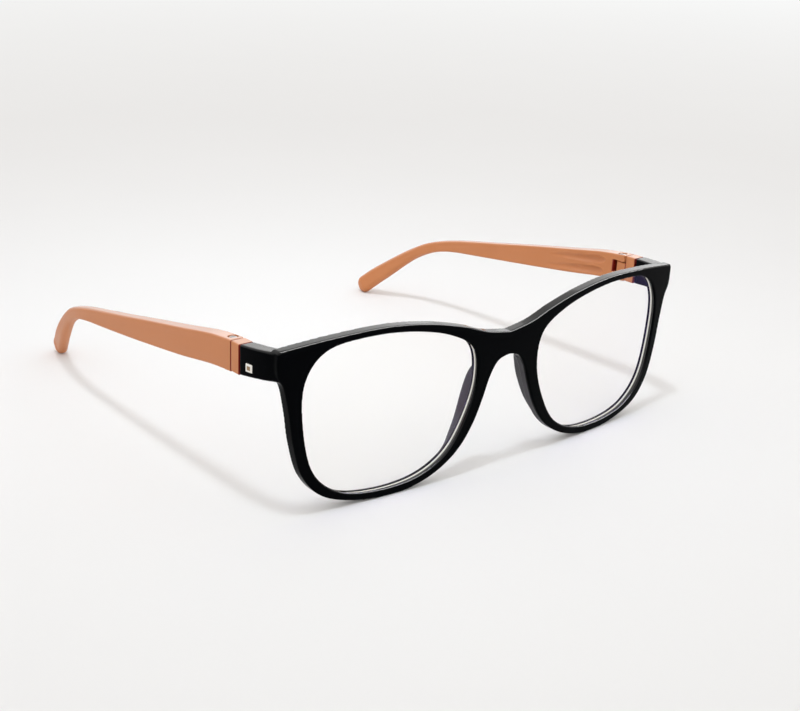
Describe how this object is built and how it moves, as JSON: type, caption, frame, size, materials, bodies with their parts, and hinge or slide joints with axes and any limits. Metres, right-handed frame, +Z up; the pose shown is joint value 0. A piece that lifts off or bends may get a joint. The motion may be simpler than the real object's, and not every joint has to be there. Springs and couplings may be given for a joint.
{
  "type": "folding reading glasses",
  "caption": "Full-rim reading glasses: one-piece black front with moulded nose pads, clear lenses, and plastic side arms that fold inward on screw hinges.",
  "frame": {"origin": "on the surface that the open glasses stand on, under the middle of their bounding box", "axes": "+X towards the wearer's left, -Y the way the wearer looks (the temples run back along +Y), +Z up"},
  "size_m": [0.1448, 0.1416, 0.0457],
  "materials": {
    "black_plastic": "polished",
    "lens": "clear, anti-reflection coated",
    "terracotta_plastic": "satin",
    "screw_steel": "machined",
    "insert_brass": "machined",
    "stud_metal": "polished"
  },
  "bodies": {
    "front": {"front_frame": "black_plastic", "right_lens": "lens", "left_lens": "lens", "right_hinge_block": "terracotta_plastic", "left_hinge_block": "terracotta_plastic", "right_corner_stud": "stud_metal", "left_corner_stud": "stud_metal"},
    "right_arm": {"right_temple": "terracotta_plastic", "right_hinge_screw": "screw_steel", "right_screw_insert": "insert_brass"},
    "left_arm": {"left_temple": "terracotta_plastic", "left_hinge_screw": "screw_steel", "left_screw_insert": "insert_brass"}
  },
  "joints": [
    {"name": "right_temple_fold", "type": "hinge", "parent": "front", "child": "right_arm", "pos_m": [-0.0699, -0.0465, 0.0382], "axis": [0, 0, -1], "range_deg": [0, 90]},
    {"name": "left_temple_fold", "type": "hinge", "parent": "front", "child": "left_arm", "pos_m": [0.0699, -0.0465, 0.0382], "axis": [0, 0, 1], "range_deg": [0, 84]}
  ]
}
